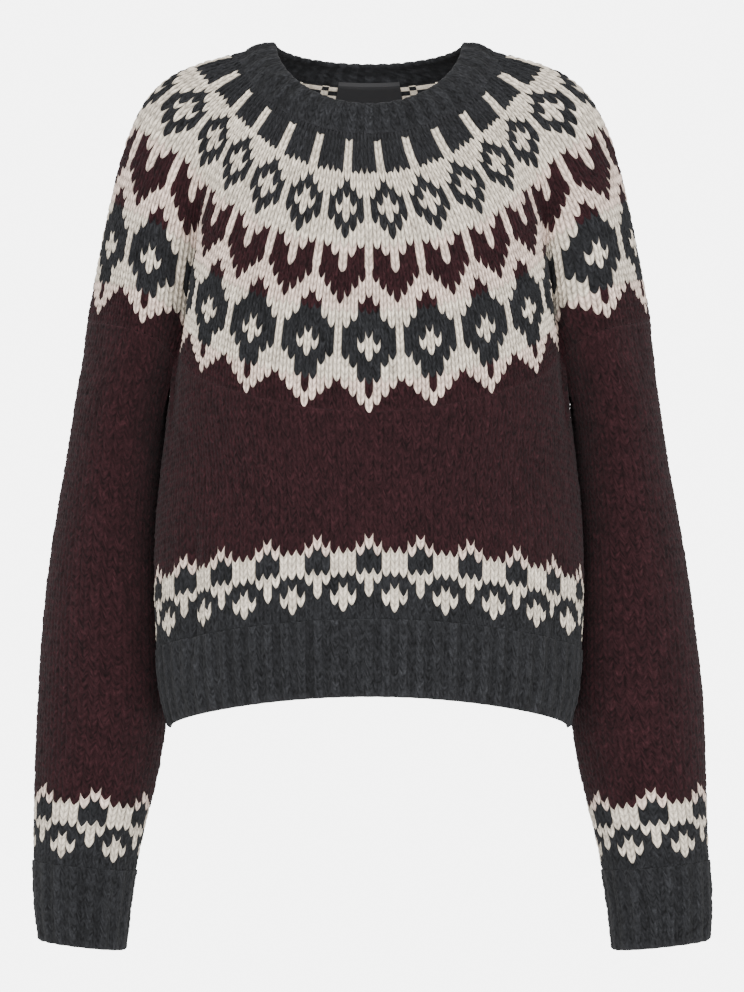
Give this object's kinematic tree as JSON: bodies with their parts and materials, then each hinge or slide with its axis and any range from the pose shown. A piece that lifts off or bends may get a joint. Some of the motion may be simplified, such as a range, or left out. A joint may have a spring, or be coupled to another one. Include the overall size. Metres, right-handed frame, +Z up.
{
  "type": "fair isle jumper",
  "caption": "Round-yoke patterned jumper filled out as worn, hollow, with open neck, hem and cuffs and long sleeves hanging beside the body.",
  "frame": {"origin": "middle of the neck opening, 14 mm below the highest points of the neck band, where the wearer's shoulders hold the jumper", "axes": "+Z up, the front faces -Y, +X is the right side of the picture, the wearer's left"},
  "size_m": [0.5628, 0.237, 0.7482],
  "materials": {
    "charcoal_rib": "brushed bulky wool rib, charcoal",
    "yoke_knit": "brushed bulky wool, cream, charcoal and burgundy pattern",
    "body_knit": "brushed bulky wool, burgundy with a cream and charcoal hem band",
    "sleeve_knit": "brushed bulky wool, burgundy with a cream and charcoal cuff band",
    "label_tape": "plain woven black tape, bare"
  },
  "bodies": {
    "root": {"neck_rib": "charcoal_rib", "yoke": "yoke_knit", "body_front": "body_knit", "body_back": "body_knit", "hem_rib": "charcoal_rib", "sleeve_left": "sleeve_knit", "sleeve_right": "sleeve_knit", "cuff_left": "charcoal_rib", "cuff_right": "charcoal_rib", "neck_label": "label_tape"}
  },
  "joints": []
}
